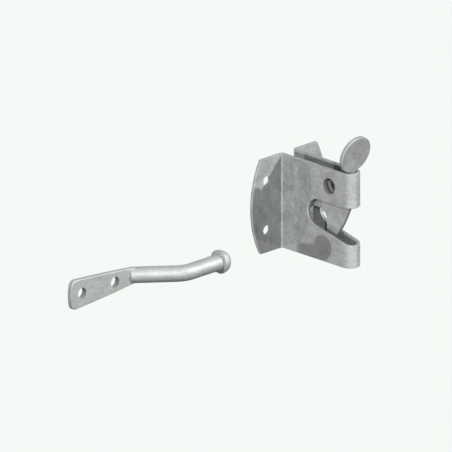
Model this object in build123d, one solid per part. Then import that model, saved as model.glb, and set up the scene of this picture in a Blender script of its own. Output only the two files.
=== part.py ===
from build123d import *
import math
import os

# Automatic gate catch with its striker bar.
# The catch is a folded sheet body that is screwed to the gate post. A flat pawl with a round thumb
# disc hangs on one rivet inside it and falls by its own weight. The striker bar is screwed to the
# gate, stands apart from the catch, and pushes into the mouth when the gate swings shut.
# X points out of the post, Z points up, and the origin is the middle of the mounting face.
# Lengths are millimetres and angles are degrees.

# Folded body
sheet = 2.0
body_height = 60.0
channel_gap = 8.4
nose_axis_x = 53.6
bend_inner_radius = 1.0
flange_flat = 17.7
flange_bulge = 7.6
flange_corner_radius = 0.8
sheet_edge_break = 0.25

# Screw holes in the two flanges
screw_bore = 6.0
screw_span_y = 37.9
screw_span_z = 31.4

# Padlock hole through both side plates and the pawl
padlock_bore = 10.0
padlock_x = 42.0
padlock_drop = 11.0

# Mouth that the striker bar enters
mouth_end_x = 32.3
mouth_end_z = -0.5
mouth_end_radius = 8.5
mouth_lower_fall = 14.0
mouth_edge_break = 0.4

# Rivet that the pawl turns on
pivot_x = 13.8
pivot_z = 0.8
rivet_diameter = 6.0
rivet_head_diameter = 8.6
rivet_head_depth = 1.2
rivet_dish_depth = 0.2
rivet_dish_diameter = 6.6
pivot_play = 0.05
side_play = 0.05
spacer_diameter = 14.0

# Pawl plate
pawl_thick = 2.5
pawl_boss_radius = 11.0
pawl_top_drop = 0.4
pawl_back_drop = 3.0
pawl_back_x = 38.0
pawl_back_radius = 6.0
neck_foot_x = 45.6
neck_top_x = 47.2
neck_radius = 1.2
pawl_nose_gap = 0.15
strike_x = 51.45
strike_lean = 25.5
strike_bow_radius = 75.0
strike_corner_radius = 1.0
hook_tip_z = -16.5
hook_tip_radius = 2.2
throat_rear_x = 21.4
throat_front_x = 35.0
throat_top_z = 1.1
throat_rear_radius = 2.0
throat_front_radius = 6.6
heel_radius = 2.0
pawl_edge_break = 0.25

# Thumb disc and the saddle that holds it on the pawl
disc_diameter = 23.9
disc_thick = 2.45
disc_foot_x = 54.93
disc_foot_lift = 0.2
disc_tilt = 14.0
disc_edge_break = 0.4
saddle_lip = 1.2
saddle_front_wall = 1.15
saddle_rear_wall = 1.6
saddle_root = 2.5
saddle_rounding = 0.9

# Striker bar
bar_diameter = 10.0
bar_z = -8.4
crank_start_x = 16.85
crank_start_y = -147.45
crank_offset_x = 20.0
crank_offset_y = 24.0
crank_bend_radius = 14.0
bar_end_run = 29.0
head_diameter = 14.6
head_rim = 0.6
head_edge_break = 0.5
plate_length = 54.25
plate_thick = 3.5
plate_wide_end = 18.8
plate_narrow_end = 9.8
plate_end_bow = 1.6
plate_side_bow = 0.35
plate_corner_radius = 3.5
plate_edge_break = 0.45
plate_bore = 7.0
plate_first_hole = 9.2
plate_hole_spacing = 28.0
shoulder_dome_radius = 12.0
shoulder_setback = 1.6
shoulder_rounding = 0.8

# Sizes worked out from the values above
gap_half = channel_gap / 2
side_half = gap_half + sheet
body_reach = nose_axis_x + side_half
body_top = body_height / 2
padlock_z = body_top - padlock_drop
pawl_top_z = body_top - pawl_top_drop
pawl_back_z = body_top - pawl_back_drop
strike_bow_x = strike_x - strike_bow_radius * math.cos(math.radians(strike_lean))
strike_bow_z = strike_bow_radius * math.sin(math.radians(strike_lean))
disc_upward = Vector(math.sin(math.radians(disc_tilt)), 0, math.cos(math.radians(disc_tilt)))
disc_normal = Vector(disc_upward.Z, 0, -disc_upward.X)
disc_middle = Vector(disc_foot_x, 0, body_top + disc_foot_lift) + disc_upward * (disc_diameter / 2)
disc_plane = Plane(origin=disc_middle, x_dir=(0, 1, 0), z_dir=disc_normal)
spacer_thick = gap_half - pawl_thick / 2 - side_play

# Two places nearer than this count as the same one when edges are picked
same_place = 0.01


def across_y(sketch, half):
    """Makes a prism from a sketch drawn in X and Z, reaching half to each side of the middle."""
    return extrude(Plane.XZ * sketch, amount=half, both=True)


def corner_near(sketch, x, y):
    """Finds the sketch corner nearest a point."""
    return sketch.vertices().sort_by_distance((x, y, 0))[0]


def body_plan():
    """Draws the folded sheet seen from above: nose, side plates, bends and flanges."""
    flange_reach = side_half + flange_flat + flange_bulge
    outside = Rectangle(nose_axis_x, 2 * side_half, align=(Align.MIN, Align.CENTER))
    outside += Pos(nose_axis_x, 0) * Circle(side_half)
    outside += Rectangle(sheet, 2 * flange_reach, align=(Align.MIN, Align.CENTER))
    for side in (-1, 1):
        outside = fillet(corner_near(outside, sheet, side * side_half), bend_inner_radius)
    inside = Rectangle(nose_axis_x, channel_gap, align=(Align.MIN, Align.CENTER))
    inside += Pos(nose_axis_x, 0) * Circle(gap_half)
    plan = outside - inside
    for side in (-1, 1):
        plan = fillet(corner_near(plan, 0, side * gap_half), bend_inner_radius + sheet)
    return plan


def flange_outline():
    """Draws the body seen from the front: straight top and bottom, bowed outer flange edges."""
    half = body_top
    corner_y = side_half + flange_flat
    tip_y = corner_y + flange_bulge
    edges = [
        Line((-corner_y, half), (corner_y, half)),
        ThreePointArc((corner_y, half), (tip_y, 0), (corner_y, -half)),
        Line((corner_y, -half), (-corner_y, -half)),
        ThreePointArc((-corner_y, -half), (-tip_y, 0), (-corner_y, half)),
    ]
    outline = make_face(edges)
    return fillet(outline.vertices(), flange_corner_radius)


def mouth_shape():
    """Draws the mouth seen from the side: round inner end, level top, falling lower lip."""
    fall = math.radians(mouth_lower_fall)
    low_x = mouth_end_x - mouth_end_radius * math.sin(fall)
    low_z = mouth_end_z - mouth_end_radius * math.cos(fall)
    out_x = body_reach + sheet
    out_z = low_z - (out_x - low_x) * math.tan(fall)
    top_z = mouth_end_z + mouth_end_radius
    corners = [(mouth_end_x, top_z), (out_x, top_z), (out_x, out_z), (low_x, low_z)]
    corners.append((mouth_end_x, mouth_end_z))
    return make_face(Polyline(corners, close=True)) + Pos(mouth_end_x, mouth_end_z) * Circle(mouth_end_radius)


def rivet_solid():
    """Makes the rivet blank: a shank with a countersunk head filling each side plate."""
    shank = rivet_diameter / 2
    head = rivet_head_diameter / 2
    profile = Polyline(
        (0, -side_half),
        (head, -side_half),
        (shank, rivet_head_depth - side_half),
        (shank, side_half - rivet_head_depth),
        (head, side_half),
        (0, side_half),
        close=True,
    )
    turned = revolve(make_face(profile), Axis.Y)
    return Pos(pivot_x, 0, pivot_z) * turned


def make_catch_body():
    """Makes the folded body with its mouth, screw holes, padlock hole and rivet holes."""
    body = extrude(body_plan(), amount=body_top, both=True)
    body &= extrude(Plane.YZ * flange_outline(), amount=body_reach + sheet)
    body = chamfer([edge for edge in body.edges() if is_sheet_edge(edge)], sheet_edge_break)
    mouth = across_y(mouth_shape(), side_half + sheet)
    body -= mouth
    body = chamfer([edge for edge in body.edges() if is_lip_edge(edge, mouth)], mouth_edge_break)
    body -= across_y(Pos(padlock_x, padlock_z) * Circle(padlock_bore / 2), side_half + sheet)
    screw = Plane.YZ * Circle(screw_bore / 2)
    for y in (-screw_span_y / 2, screw_span_y / 2):
        for z in (-screw_span_z / 2, screw_span_z / 2):
            body -= Pos(0, y, z) * extrude(screw, amount=sheet)
    return body - rivet_solid()


def is_sheet_edge(edge):
    """Tells whether an edge lies along the cut rim of the sheet, above, below or at a flange's end."""
    middle = edge.position_at(0.5)
    at_end = abs(middle.Y) > side_half + flange_flat - flange_corner_radius
    along_end = at_end and edge.length > sheet + same_place
    return along_end or abs(abs(middle.Z) - body_top) < same_place


def is_lip_edge(edge, mouth):
    """Tells whether an edge lies along a lip of the mouth, and not across the sheet's thickness."""
    return edge.length > sheet + same_place and mouth.distance_to(edge.position_at(0.5)) < same_place


def make_pivot_rivet():
    """Makes the rivet with the shallow dish that the riveting tool leaves in each head."""
    rivet = rivet_solid()
    dish = Cone(rivet_dish_diameter / 2 - rivet_dish_depth, rivet_dish_diameter / 2, rivet_dish_depth)
    for side in (-1, 1):
        place = Plane(origin=(pivot_x, side * (side_half - rivet_dish_depth / 2), pivot_z), z_dir=(0, side, 0))
        rivet -= place * dish
    return rivet


def make_spacer(side):
    """Makes the washer that keeps the pawl in the middle of the channel on one side."""
    ring = Circle(spacer_diameter / 2) - Circle(rivet_diameter / 2 + pivot_play)
    flat = across_y(Pos(pivot_x, pivot_z) * ring, spacer_thick / 2)
    return Pos(0, side * (gap_half - spacer_thick / 2), 0) * flat


def strike_edge_x(z):
    """Gives the X of the bowed strike edge at a height."""
    return strike_bow_x + math.sqrt(strike_bow_radius**2 - (z - strike_bow_z) ** 2)


def pawl_outline():
    """Draws the pawl seen from the side, without its bore and padlock hole."""
    nose_inside = math.sqrt(gap_half**2 - (pawl_thick / 2) ** 2)
    front_x = nose_axis_x + nose_inside - pawl_nose_gap
    strike_top_z = strike_bow_z - math.sqrt(strike_bow_radius**2 - (front_x - strike_bow_x) ** 2)
    strike_middle_z = (strike_top_z + hook_tip_z) / 2
    heel_z = pivot_z - pawl_boss_radius
    reach = math.hypot(pawl_back_x - pivot_x, pawl_back_z - pivot_z)
    rise = math.atan2(pawl_back_z - pivot_z, pawl_back_x - pivot_x)
    slope = rise - math.asin(pawl_boss_radius / reach)
    boss_x = pivot_x - pawl_boss_radius * math.sin(slope)
    boss_z = pivot_z + pawl_boss_radius * math.cos(slope)
    corners = [
        (strike_edge_x(hook_tip_z), hook_tip_z),
        (throat_front_x, hook_tip_z),
        (throat_front_x, heel_z),
        (pivot_x, heel_z),
        (pivot_x, pivot_z),
        (boss_x, boss_z),
        (pawl_back_x, pawl_back_z),
        (neck_foot_x, pawl_back_z),
        (neck_top_x, pawl_top_z),
        (front_x, pawl_top_z),
        (front_x, strike_top_z),
    ]
    strike = ThreePointArc(corners[-1], (strike_edge_x(strike_middle_z), strike_middle_z), corners[0])
    outline = make_face([*Polyline(corners).edges(), strike])
    outline += Pos(pivot_x, pivot_z) * Circle(pawl_boss_radius)
    outline = fillet(corner_near(outline, pawl_back_x, pawl_back_z), pawl_back_radius)
    outline = fillet(corner_near(outline, neck_foot_x, pawl_back_z), neck_radius)
    outline = fillet(corner_near(outline, neck_top_x, pawl_top_z), neck_radius)
    outline = fillet(corner_near(outline, front_x, strike_top_z), strike_corner_radius)
    outline -= throat_shape(heel_z)
    outline = fillet(corner_near(outline, strike_edge_x(hook_tip_z), hook_tip_z), hook_tip_radius)
    outline = fillet(corner_near(outline, throat_front_x, hook_tip_z), hook_tip_radius)
    outline = fillet(corner_near(outline, throat_rear_x, heel_z), heel_radius)
    return outline


def throat_shape(heel_z):
    """Draws the throat that drops over the bar, open at the bottom."""
    low_z = heel_z + hook_tip_z
    box = [(throat_rear_x, throat_top_z), (throat_front_x, throat_top_z)]
    box += [(throat_front_x, low_z), (throat_rear_x, low_z)]
    throat = make_face(Polyline(box, close=True))
    throat = fillet(corner_near(throat, throat_rear_x, throat_top_z), throat_rear_radius)
    return fillet(corner_near(throat, throat_front_x, throat_top_z), throat_front_radius)


def make_saddle():
    """Makes the lug on the pawl's top edge that the thumb disc stands in."""
    low = -disc_diameter / 2 - saddle_root
    high = -disc_diameter / 2 + saddle_lip
    rear = -disc_thick / 2 - saddle_rear_wall
    front = disc_thick / 2 + saddle_front_wall
    lug = Box(pawl_thick, high - low, front - rear, align=(Align.CENTER, Align.MIN, Align.MIN))
    upright = lug.edges().filter_by(Axis.Y).group_by(Axis.Z)[-1]
    crest = lug.edges().filter_by(Axis.X).group_by(Axis.Y)[-1]
    lug = fillet(upright + crest, saddle_rounding)
    return disc_plane * Pos(0, low, rear) * lug


def make_pawl():
    """Makes the pawl plate with its pivot bore, padlock hole and disc saddle."""
    outline = pawl_outline()
    outline -= Pos(pivot_x, pivot_z) * Circle(rivet_diameter / 2 + pivot_play)
    outline -= Pos(padlock_x, padlock_z) * Circle(padlock_bore / 2)
    pawl = across_y(outline, pawl_thick / 2)
    pawl = chamfer(pawl.edges().group_by(Axis.Y)[0] + pawl.edges().group_by(Axis.Y)[-1], pawl_edge_break)
    pawl += make_saddle()
    slot = Box(2 * pawl_thick, disc_diameter, disc_thick, align=(Align.CENTER, Align.MIN, Align.CENTER))
    return pawl - disc_plane * Pos(0, -disc_diameter / 2, 0) * slot


def make_thumb_disc():
    """Makes the round plate that is pushed back and up by hand to free the bar."""
    disc = Cylinder(disc_diameter / 2, disc_thick)
    disc = chamfer(disc.edges().filter_by(GeomType.CIRCLE), disc_edge_break)
    return disc_plane * disc


def plate_outline():
    """Draws the striker's flat end seen from the front, from its rounded end to the crank."""
    end_y = crank_start_y - plate_length
    wide = plate_wide_end / 2
    narrow = plate_narrow_end / 2
    side_y = end_y + plate_end_bow
    middle_y = (side_y + crank_start_y) / 2
    middle = (wide + narrow) / 2 + plate_side_bow
    edges = [
        ThreePointArc((side_y, -wide), (end_y, 0), (side_y, wide)),
        ThreePointArc((side_y, wide), (middle_y, middle), (crank_start_y, narrow)),
        Line((crank_start_y, narrow), (crank_start_y, -narrow)),
        ThreePointArc((crank_start_y, -narrow), (middle_y, -middle), (side_y, -wide)),
    ]
    outline = make_face(edges)
    for side in (-1, 1):
        outline = fillet(corner_near(outline, side_y, side * wide), plate_corner_radius)
    for index in range(2):
        hole_y = end_y + plate_first_hole + index * plate_hole_spacing
        outline -= Pos(hole_y, 0) * Circle(plate_bore / 2)
    return outline


def make_shoulder():
    """Makes the end of the round bar, slightly domed where the die closed on it."""
    radius = bar_diameter / 2
    length = radius + shoulder_setback
    dome_set = math.sqrt(shoulder_dome_radius**2 - radius**2)
    half_angle = math.asin(radius / shoulder_dome_radius) / 2
    dome_middle = (
        shoulder_dome_radius * math.sin(half_angle),
        dome_set - shoulder_dome_radius * math.cos(half_angle),
    )
    tip = (0, dome_set - shoulder_dome_radius)
    edges = [
        Line(tip, (0, length)),
        Line((0, length), (radius, length)),
        Line((radius, length), (radius, 0)),
        ThreePointArc((radius, 0), dome_middle, tip),
    ]
    profile = make_face(edges)
    profile = fillet(corner_near(profile, radius, 0), shoulder_rounding)
    return revolve(Plane.XZ * profile, Axis.Z)


def make_striker_bar():
    """Makes the forged bar: flat screw plate, cranked round bar and domed head."""
    start = Vector(crank_start_x, crank_start_y, bar_z)
    bend = start + Vector(crank_offset_x, crank_offset_y, 0)
    head = bend + Vector(0, bar_end_run, 0)
    crank_way = (bend - start).normalized()
    radius = bar_diameter / 2
    # The round bar starts a little past the flat, so that the rounded shoulder can lead into it
    run_start = start + crank_way * radius
    path = FilletPolyline(run_start, bend, head, radius=crank_bend_radius)
    section = Plane(origin=run_start, z_dir=crank_way) * Circle(radius)
    bar = sweep(section, path=path)
    shoulder_plane = Plane(origin=start - crank_way * shoulder_setback, z_dir=crank_way)
    bar += shoulder_plane * make_shoulder()
    # The back of the bar is flattened into the plane of the plate's back
    back_x = crank_start_x - plate_thick / 2
    waste = Box(bar_diameter, 2 * bar_diameter, 2 * bar_diameter, align=(Align.MAX, Align.CENTER, Align.CENTER))
    bar -= Pos(back_x, crank_start_y, bar_z) * waste
    plate = extrude(Plane.YZ * plate_outline(), amount=plate_thick)
    plate = plate.chamfer(plate_edge_break, None, plate_rim_edges(plate))
    bar += Pos(back_x, 0, bar_z) * plate
    cap = Sphere(head_diameter / 2) & Pos(0, -head_rim, 0) * Box(
        head_diameter, head_diameter, head_diameter, align=(Align.CENTER, Align.MIN, Align.CENTER)
    )
    cap = chamfer(cap.edges().filter_by(GeomType.CIRCLE), head_edge_break)
    return bar + Pos(head.X, head.Y, head.Z) * cap


def plate_rim_edges(plate):
    """Picks the outer edges of the striker's flat end, leaving the end that joins the bar."""
    picked = []
    for face in (plate.faces().sort_by(Axis.X)[0], plate.faces().sort_by(Axis.X)[-1]):
        picked += face.outer_wire().edges().sort_by(Axis.Y)[:-1]
    return picked


parts = {
    "catch_body": make_catch_body(),
    "pivot_rivet": make_pivot_rivet(),
    "spacer_near": make_spacer(-1),
    "spacer_far": make_spacer(1),
    "pawl": make_pawl(),
    "thumb_disc": make_thumb_disc(),
    "striker_bar": make_striker_bar(),
}
os.makedirs("parts", exist_ok=True)
for name, shape in parts.items():
    export_step(shape, f"parts/{name}.step")
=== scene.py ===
import math
import bpy
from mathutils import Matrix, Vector

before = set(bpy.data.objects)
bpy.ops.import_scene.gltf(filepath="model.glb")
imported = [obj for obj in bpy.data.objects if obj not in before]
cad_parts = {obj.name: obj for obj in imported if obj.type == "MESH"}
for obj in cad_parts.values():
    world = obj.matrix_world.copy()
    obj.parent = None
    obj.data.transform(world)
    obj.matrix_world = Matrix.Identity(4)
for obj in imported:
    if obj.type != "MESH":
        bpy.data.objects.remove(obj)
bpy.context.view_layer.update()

# Camera. The photograph is very nearly a parallel view from the striker's side, 45 degrees round
# and 19.5 degrees up, with 452 pixels across 271.5 mm.
view_azimuth = math.radians(45)
view_rise = math.asin(1 / 3)
picture_width = 0.2715
camera_distance = 1.2
camera_far_limit = 10
# The point of the part that lies at the middle of the photograph, on the catch's mounting plane
sight_point = Vector((0.0, -0.0517, -0.0054))

towards_camera = Vector((
    math.cos(view_rise) * math.sin(view_azimuth),
    -math.cos(view_rise) * math.cos(view_azimuth),
    math.sin(view_rise),
))
camera_data = bpy.data.cameras.new("photo_camera")
camera_data.type = "ORTHO"
camera_data.ortho_scale = picture_width
camera_data.clip_end = camera_far_limit
camera = bpy.data.objects.new("photo_camera", camera_data)
bpy.context.scene.collection.objects.link(camera)
camera.location = sight_point + towards_camera * camera_distance
camera.rotation_euler = towards_camera.to_track_quat("Z", "Y").to_euler()
bpy.context.scene.camera = camera

# Folded body. One steel sheet 2 mm thick, cut out flat, folded round the nose and dipped in molten
# zinc. The dip leaves a dull, clouded skin with a faint frost of crystals and a thin sharp gloss
# over it; the slightly brighter line along every edge is a painted highlight.
millimetre = 0.001
# How much the frost and the grain count beside the clouds
frost_share = 0.18
grain_share = 0.2
# How far the zinc's swirl pulls the pattern out of line, in crystals
swirl_reach = 0.5
# The mottle's values at which the skin is darkest and lightest
mottle_dark = 0.3
mottle_light = 0.7
# The painted edge highlight starts and is full where the rounded surface has turned this far, as
# cosines
edge_start = 0.995
edge_full = 0.8
edge_share = 0.3
edge_samples = 6
roughness_swing = 0.05
ripple_strength = 0.9


def linear(hex_colour):
    """Turns an sRGB hex colour into the linear values that a shader takes."""
    parts = [int(hex_colour[i:i + 2], 16) / 255 for i in (0, 2, 4)]
    light = [c / 12.92 if c <= 0.04045 else ((c + 0.055) / 1.055) ** 2.4 for c in parts]
    return (*light, 1.0)


def add(tree, kind, settings=None, links=None):
    """Adds a node: settings are its own properties, links are values or sockets for its inputs."""
    node = tree.nodes.new(kind)
    for name, value in (settings or {}).items():
        setattr(node, name, value)
    for name, value in (links or {}).items():
        socket = next(s for s in node.inputs if name in (s.identifier, s.name) and s.enabled)
        if isinstance(value, bpy.types.NodeSocket):
            tree.links.new(value, socket)
        else:
            socket.default_value = value
    return node


def zinc_skin(name, *, light, dark, edge, crystal_mm, cloud_mm, grain_mm, edge_mm, gloss_blur,
              metal_share, roughness, ripple_mm, ripple_rise):
    """Makes a zinc finish: clouded, faintly crystalline, glossed over, with a painted highlight
    along the edges.

    ripple_rise is the height of the ripple as a share of its size."""
    material = bpy.data.materials.new(name)
    material.use_nodes = True
    tree = material.node_tree
    shader = tree.nodes["Principled BSDF"]
    place = add(tree, "ShaderNodeTexCoord").outputs["Object"]
    # Molten zinc pulls the borders of its clouds and crystals out of line
    swirl = add(tree, "ShaderNodeTexNoise", links={
        "Vector": place, "Scale": 1 / (crystal_mm * millimetre), "Detail": 2.0})
    drift = add(tree, "ShaderNodeVectorMath", {"operation": "MULTIPLY_ADD"}, {
        "Vector": swirl.outputs["Color"],
        "Vector_001": (swirl_reach * crystal_mm * millimetre,) * 3,
        "Vector_002": place})
    crystals = add(tree, "ShaderNodeTexVoronoi", links={
        "Vector": drift.outputs["Vector"], "Scale": 1 / (crystal_mm * millimetre)})
    clouds = add(tree, "ShaderNodeTexNoise", links={
        "Vector": drift.outputs["Vector"], "Scale": 1 / (cloud_mm * millimetre),
        "Detail": 4.0, "Roughness": 0.6})
    grain = add(tree, "ShaderNodeTexNoise", links={
        "Vector": place, "Scale": 1 / (grain_mm * millimetre), "Detail": 2.0})
    frost = add(tree, "ShaderNodeSeparateColor", links={"Color": crystals.outputs["Color"]})
    frosted = add(tree, "ShaderNodeMix", links={
        "Factor_Float": frost_share, "A_Float": clouds.outputs["Fac"],
        "B_Float": frost.outputs["Red"]})
    mottle = add(tree, "ShaderNodeMix", links={
        "Factor_Float": grain_share, "A_Float": frosted.outputs["Result"],
        "B_Float": grain.outputs["Fac"]})
    tone = add(tree, "ShaderNodeValToRGB", links={"Fac": mottle.outputs["Result"]})
    tone.color_ramp.elements[0].position = mottle_dark
    tone.color_ramp.elements[0].color = linear(dark)
    tone.color_ramp.elements[1].position = mottle_light
    tone.color_ramp.elements[1].color = linear(light)
    # Painted highlight: the colour is lightened in a line where two faces meet, as a rounded edge
    # catches light
    rounded = add(tree, "ShaderNodeBevel", {"samples": edge_samples}, {
        "Radius": edge_mm * millimetre})
    flat = add(tree, "ShaderNodeNewGeometry")
    along = add(tree, "ShaderNodeVectorMath", {"operation": "DOT_PRODUCT"}, {
        "Vector": rounded.outputs["Normal"], "Vector_001": flat.outputs["Normal"]})
    painted_edge_highlight = add(tree, "ShaderNodeMapRange", links={
        "Value": along.outputs["Value"], "From Min": edge_start, "From Max": edge_full,
        "To Max": edge_share})
    colour = add(tree, "ShaderNodeMix", {"data_type": "RGBA"}, {
        "Factor_Float": painted_edge_highlight.outputs["Result"], "A_Color": tone.outputs["Color"],
        "B_Color": linear(edge)})
    rough = add(tree, "ShaderNodeMapRange", links={
        "Value": mottle.outputs["Result"], "To Min": roughness + roughness_swing,
        "To Max": roughness - roughness_swing})
    # The dip runs and sets unevenly, which breaks up every broad highlight
    ripple = add(tree, "ShaderNodeTexNoise", links={
        "Vector": place, "Scale": 1 / (ripple_mm * millimetre), "Detail": 3.0, "Roughness": 0.6})
    relief = add(tree, "ShaderNodeBump", links={
        "Strength": ripple_strength, "Distance": ripple_rise * ripple_mm * millimetre,
        "Height": ripple.outputs["Fac"]})
    tree.links.new(colour.outputs["Result"], shader.inputs["Base Color"])
    tree.links.new(rough.outputs["Result"], shader.inputs["Roughness"])
    tree.links.new(relief.outputs["Normal"], shader.inputs["Normal"])
    shader.inputs["Metallic"].default_value = metal_share
    shader.inputs["Coat Weight"].default_value = 1.0
    shader.inputs["Coat Roughness"].default_value = gloss_blur
    return material


def dress(node, material):
    """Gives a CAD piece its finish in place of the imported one."""
    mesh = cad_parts[node].data
    mesh.materials.clear()
    mesh.materials.append(material)


body_finish = zinc_skin(
    "hot_dip_galvanised_sheet", light="a3a7a4", dark="7e807f", edge="c9cdca",
    crystal_mm=5.0, cloud_mm=9.0, grain_mm=0.7, edge_mm=0.5,
    gloss_blur=0.0, metal_share=0.45, roughness=0.65, ripple_mm=2.0, ripple_rise=0.35)
dress("catch_body", body_finish)

# Pawl. A flat steel plate 2.5 mm thick, punched out and dipped, that falls by its own weight. Its
# strike edge lies in shade, so all its punched walls are given a painted shade, darker than its
# faces.
pawl_look = {
    "light": "a6aaa7", "dark": "828483", "edge": "c9cdca",
    "crystal_mm": 4.0, "cloud_mm": 7.0, "grain_mm": 0.7, "edge_mm": 0.5,
    "gloss_blur": 0.0, "metal_share": 0.45, "roughness": 0.65, "ripple_mm": 1.5,
    "ripple_rise": 0.35,
}
pawl_wall_painted_shade = "707371"
# How squarely a surface must face along the pivot to count as punched wall and as rolled face
wall_limit = 0.6
face_limit = 0.9
pawl_finish = zinc_skin("hot_dip_galvanised_pawl", **pawl_look)
skin = pawl_finish.node_tree
# Painted shade: surfaces that face along the pivot's cross direction, the punched walls, are mixed
# toward a darker colour
surface = add(skin, "ShaderNodeNewGeometry")
across = add(skin, "ShaderNodeSeparateXYZ", links={"Vector": surface.outputs["True Normal"]})
flatness = add(skin, "ShaderNodeMath", {"operation": "ABSOLUTE"}, {"Value": across.outputs["Y"]})
wall_shade_mask = add(skin, "ShaderNodeMapRange", links={
    "Value": flatness.outputs["Value"], "From Min": wall_limit, "From Max": face_limit,
    "To Min": 1.0, "To Max": 0.0})
skin_colour = skin.nodes["Principled BSDF"].inputs["Base Color"]
wall_shaded_colour = add(skin, "ShaderNodeMix", {"data_type": "RGBA"}, {
    "Factor_Float": wall_shade_mask.outputs["Result"], "A_Color": skin_colour.links[0].from_socket,
    "B_Color": linear(pawl_wall_painted_shade)})
skin.links.new(wall_shaded_colour.outputs["Result"], skin_colour)
dress("pawl", pawl_finish)

# Thumb disc. A round plate on the pawl's front top corner, which a thumb pushes back to free the
# bar. It has the same dipped finish as the pawl's faces, with a painted highlight along its edges.
disc_finish = zinc_skin("hot_dip_galvanised_disc", **pawl_look)
dress("thumb_disc", disc_finish)

# Striker bar. A round bar 10 mm thick, forged flat at one end and upset to a dome at the other,
# then dipped. The zinc is paler and smoother here than on the folded sheet.
bar_finish = zinc_skin(
    "hot_dip_galvanised_forging", light="acb0ad", dark="9a9d9b", edge="c4c8c5",
    crystal_mm=6.0, cloud_mm=8.0, grain_mm=0.8, edge_mm=0.5,
    gloss_blur=0.5, metal_share=0.6, roughness=0.65, ripple_mm=2.5, ripple_rise=0.19)
dress("striker_bar", bar_finish)

# Rivet and washers. The pawl turns on a steel rivet fixed in both side plates, between two
# washers. All are zinc plated, which is thinner and smoother than the dip, and a little paler.
plate_finish = zinc_skin(
    "zinc_plated_steel", light="a8aaa8", dark="8c8e8d", edge="c9cdca",
    crystal_mm=1.5, cloud_mm=4.0, grain_mm=0.5, edge_mm=0.3,
    gloss_blur=0.2, metal_share=0.5, roughness=0.45, ripple_mm=0.8, ripple_rise=0.35)
dress("pivot_rivet", plate_finish)
dress("spacer_near", plate_finish)
dress("spacer_far", plate_finish)

# Studio floor. Pale matt paint, so far below the part that no shadow reaches the picture. It
# neither shows in the zinc nor throws light on it.
floor_depth = 1.5
floor_reach = 12.0
floor_colour = "f0f5f1"
bpy.ops.object.select_all(action="DESELECT")
bpy.ops.mesh.primitive_plane_add(size=2 * floor_reach, location=(0, 0, -floor_depth))
floor = bpy.context.object
floor.name = "studio_floor"
floor_paint = bpy.data.materials.new("pale_floor_paint")
floor_paint.use_nodes = True
floor_shader = floor_paint.node_tree.nodes["Principled BSDF"]
floor_shader.inputs["Base Color"].default_value = linear(floor_colour)
floor_shader.inputs["Roughness"].default_value = 1.0
floor.data.materials.append(floor_paint)
floor.visible_diffuse = False
floor.visible_glossy = False

# Studio walls. Dark at the floor and pale overhead, they light the zinc faintly. Its sharp gloss
# mirrors much whiter walls, brightest low in front of the post, where the nose looks.
# Heights run from 0 straight below the part to 1 straight above it
ground_height, ground_grey = 0.18, 0.03
skirting_height, skirting_grey = 0.34, 0.1
ceiling_height, ceiling_grey = 0.85, 0.8
# The share of the walls' light that dull surfaces catch
lighting_share = 0.08
# The bright card: where it stands, then where it starts and is full, as cosines, and its light
card_heading = (0.9, -0.29, -0.32)
soft_card_start, soft_card_full, soft_card_light = 0.7, 0.95, 0.7
sharp_card_start, sharp_card_full, sharp_card_light = 0.3, 0.95, 2.6
# The white walls fade from the striker's side to the far side
side_wall_turn = 0.6
striker_wall_light, far_wall_light = 1.6, 0.6


def grey(value):
    """Gives a plain grey as a colour."""
    return (value, value, value, 1)


world = bpy.data.worlds.new("studio_surroundings")
bpy.context.scene.world = world
world.use_nodes = True
sky = world.node_tree
heading = add(sky, "ShaderNodeTexCoord")
upward = add(sky, "ShaderNodeSeparateXYZ", links={"Vector": heading.outputs["Generated"]})
height = add(sky, "ShaderNodeMapRange", links={"Value": upward.outputs["Z"], "From Min": -1.0})
shade = add(sky, "ShaderNodeValToRGB", links={"Fac": height.outputs["Result"]})
shade.color_ramp.elements[0].position = ground_height
shade.color_ramp.elements[0].color = grey(ground_grey)
shade.color_ramp.elements[1].position = skirting_height
shade.color_ramp.elements[1].color = grey(skirting_grey)
shade.color_ramp.elements.new(ceiling_height).color = grey(ceiling_grey)
glance = add(sky, "ShaderNodeLightPath")
strength = add(sky, "ShaderNodeMapRange", links={
    "Value": glance.outputs["Is Diffuse Ray"], "To Min": 1.0, "To Max": lighting_share})
sky.links.new(strength.outputs["Result"], sky.nodes["Background"].inputs["Strength"])
facing = add(sky, "ShaderNodeVectorMath", {"operation": "DOT_PRODUCT"}, {
    "Vector": heading.outputs["Generated"], "Vector_001": card_heading})
soft_card = add(sky, "ShaderNodeMapRange", {"interpolation_type": "SMOOTHSTEP"}, {
    "Value": facing.outputs["Value"], "From Min": soft_card_start, "From Max": soft_card_full,
    "To Max": soft_card_light})
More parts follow.
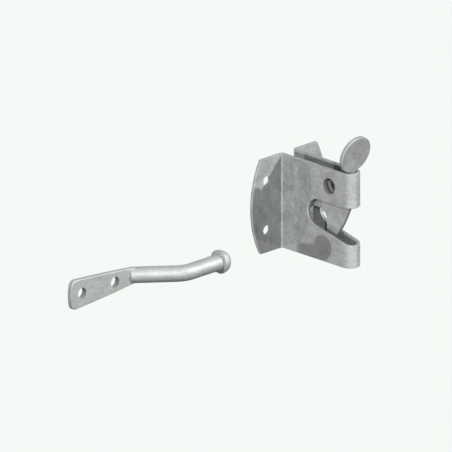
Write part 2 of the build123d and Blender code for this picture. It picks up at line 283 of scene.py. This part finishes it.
soft_walls = add(sky, "ShaderNodeVectorMath", {"operation": "ADD"}, {
    "Vector": shade.outputs["Color"], "Vector_001": soft_card.outputs["Result"]})
sharp_card = add(sky, "ShaderNodeMapRange", {"interpolation_type": "SMOOTHSTEP"}, {
    "Value": facing.outputs["Value"], "From Min": sharp_card_start, "From Max": sharp_card_full,
    "To Max": sharp_card_light})
side_walls = add(sky, "ShaderNodeMapRange", links={
    "Value": upward.outputs["Y"], "From Min": -side_wall_turn, "From Max": side_wall_turn,
    "To Min": striker_wall_light, "To Max": far_wall_light})
sharp_walls = add(sky, "ShaderNodeMath", {"operation": "ADD"}, {
    "Value": side_walls.outputs["Result"], "Value_001": sharp_card.outputs["Result"]})
walls = add(sky, "ShaderNodeMix", {"data_type": "RGBA"}, {
    "Factor_Float": glance.outputs["Is Singular Ray"], "A_Color": soft_walls.outputs["Vector"],
    "B_Color": sharp_walls.outputs["Value"]})
sky.links.new(walls.outputs["Result"], sky.nodes["Background"].inputs["Color"])

# Studio lamps. Three far lamps cast the crisp shadows that the photograph shows. A fourth, which
# the photograph doesn't have, keeps the back of the catch from going dark in the rear views.
lamp_spread = math.radians(1)


def lamp(name, towards, strength):
    """Adds a far lamp that shines on the part from one direction."""
    data = bpy.data.lights.new(name, "SUN")
    data.energy = strength
    data.angle = lamp_spread
    # The lamp is left out of what the sharp gloss mirrors, where it would leave white spots
    data.cycles.use_multiple_importance_sampling = False
    light = bpy.data.objects.new(name, data)
    bpy.context.scene.collection.objects.link(light)
    light.rotation_euler = Vector(towards).to_track_quat("Z", "Y").to_euler()
    return light


lamp("gate_side_lamp", towards=(0.745, 0.451, 0.492), strength=3.7)
lamp("striker_side_lamp", towards=(0.0, -1.0, 0.139), strength=1.98)
lamp("front_lamp", towards=(0.721, -0.546, 0.426), strength=2.2)
# From just under the horizon, it reaches neither the floor nor the top edges
back_lamp = lamp("back_lamp", towards=(-0.6, 0.8, -0.05), strength=2.2)
# Its glancing gloss would leave white spots on the rims of the disc and of the bar's head
back_lamp.visible_glossy = False
bpy.context.scene.view_settings.view_transform = "Standard"
